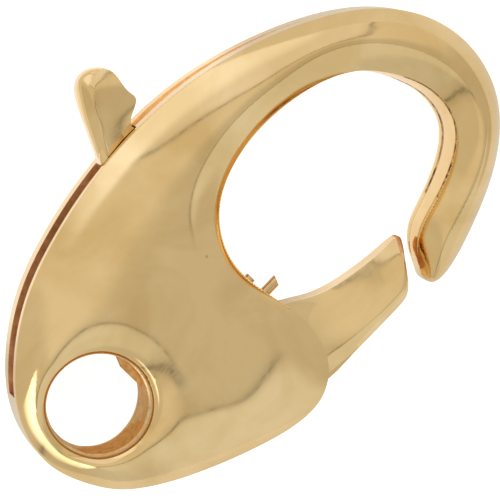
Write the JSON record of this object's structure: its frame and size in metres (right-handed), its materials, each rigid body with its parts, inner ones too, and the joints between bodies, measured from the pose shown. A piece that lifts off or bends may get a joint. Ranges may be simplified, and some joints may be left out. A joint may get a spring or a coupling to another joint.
{
  "type": "lobster clasp",
  "caption": "Lobster clasp: curved hook body with a ring eye and a sprung lever on a pin that shuts the hook and is opened by a thumb tab",
  "frame": {"origin": "middle of the ring eye, at half the body's thickness", "axes": "+X from the ring end towards the bend of the hook, +Y towards the side that the thumb tab stands on, +Z out of the front face along the ring eye and the lever's pin"},
  "size_m": [0.0252, 0.0173, 0.0046],
  "materials": {
    "gold_plate": "polished",
    "spring_wire": "drawn wire"
  },
  "bodies": {
    "clasp": {"body": "gold_plate", "pivot_pin": "gold_plate", "spring": "spring_wire"},
    "lever": {"lever": "gold_plate"}
  },
  "joints": [
    {"name": "lever_pivot", "type": "hinge", "parent": "clasp", "child": "lever", "pos_m": [0.00645, -0.0035, 0], "axis": [0, 0, 1], "range_deg": [0, 28], "stiffness_Nm_per_rad": 0.04, "springref_deg": -28.65, "deforming": ["spring"]}
  ]
}
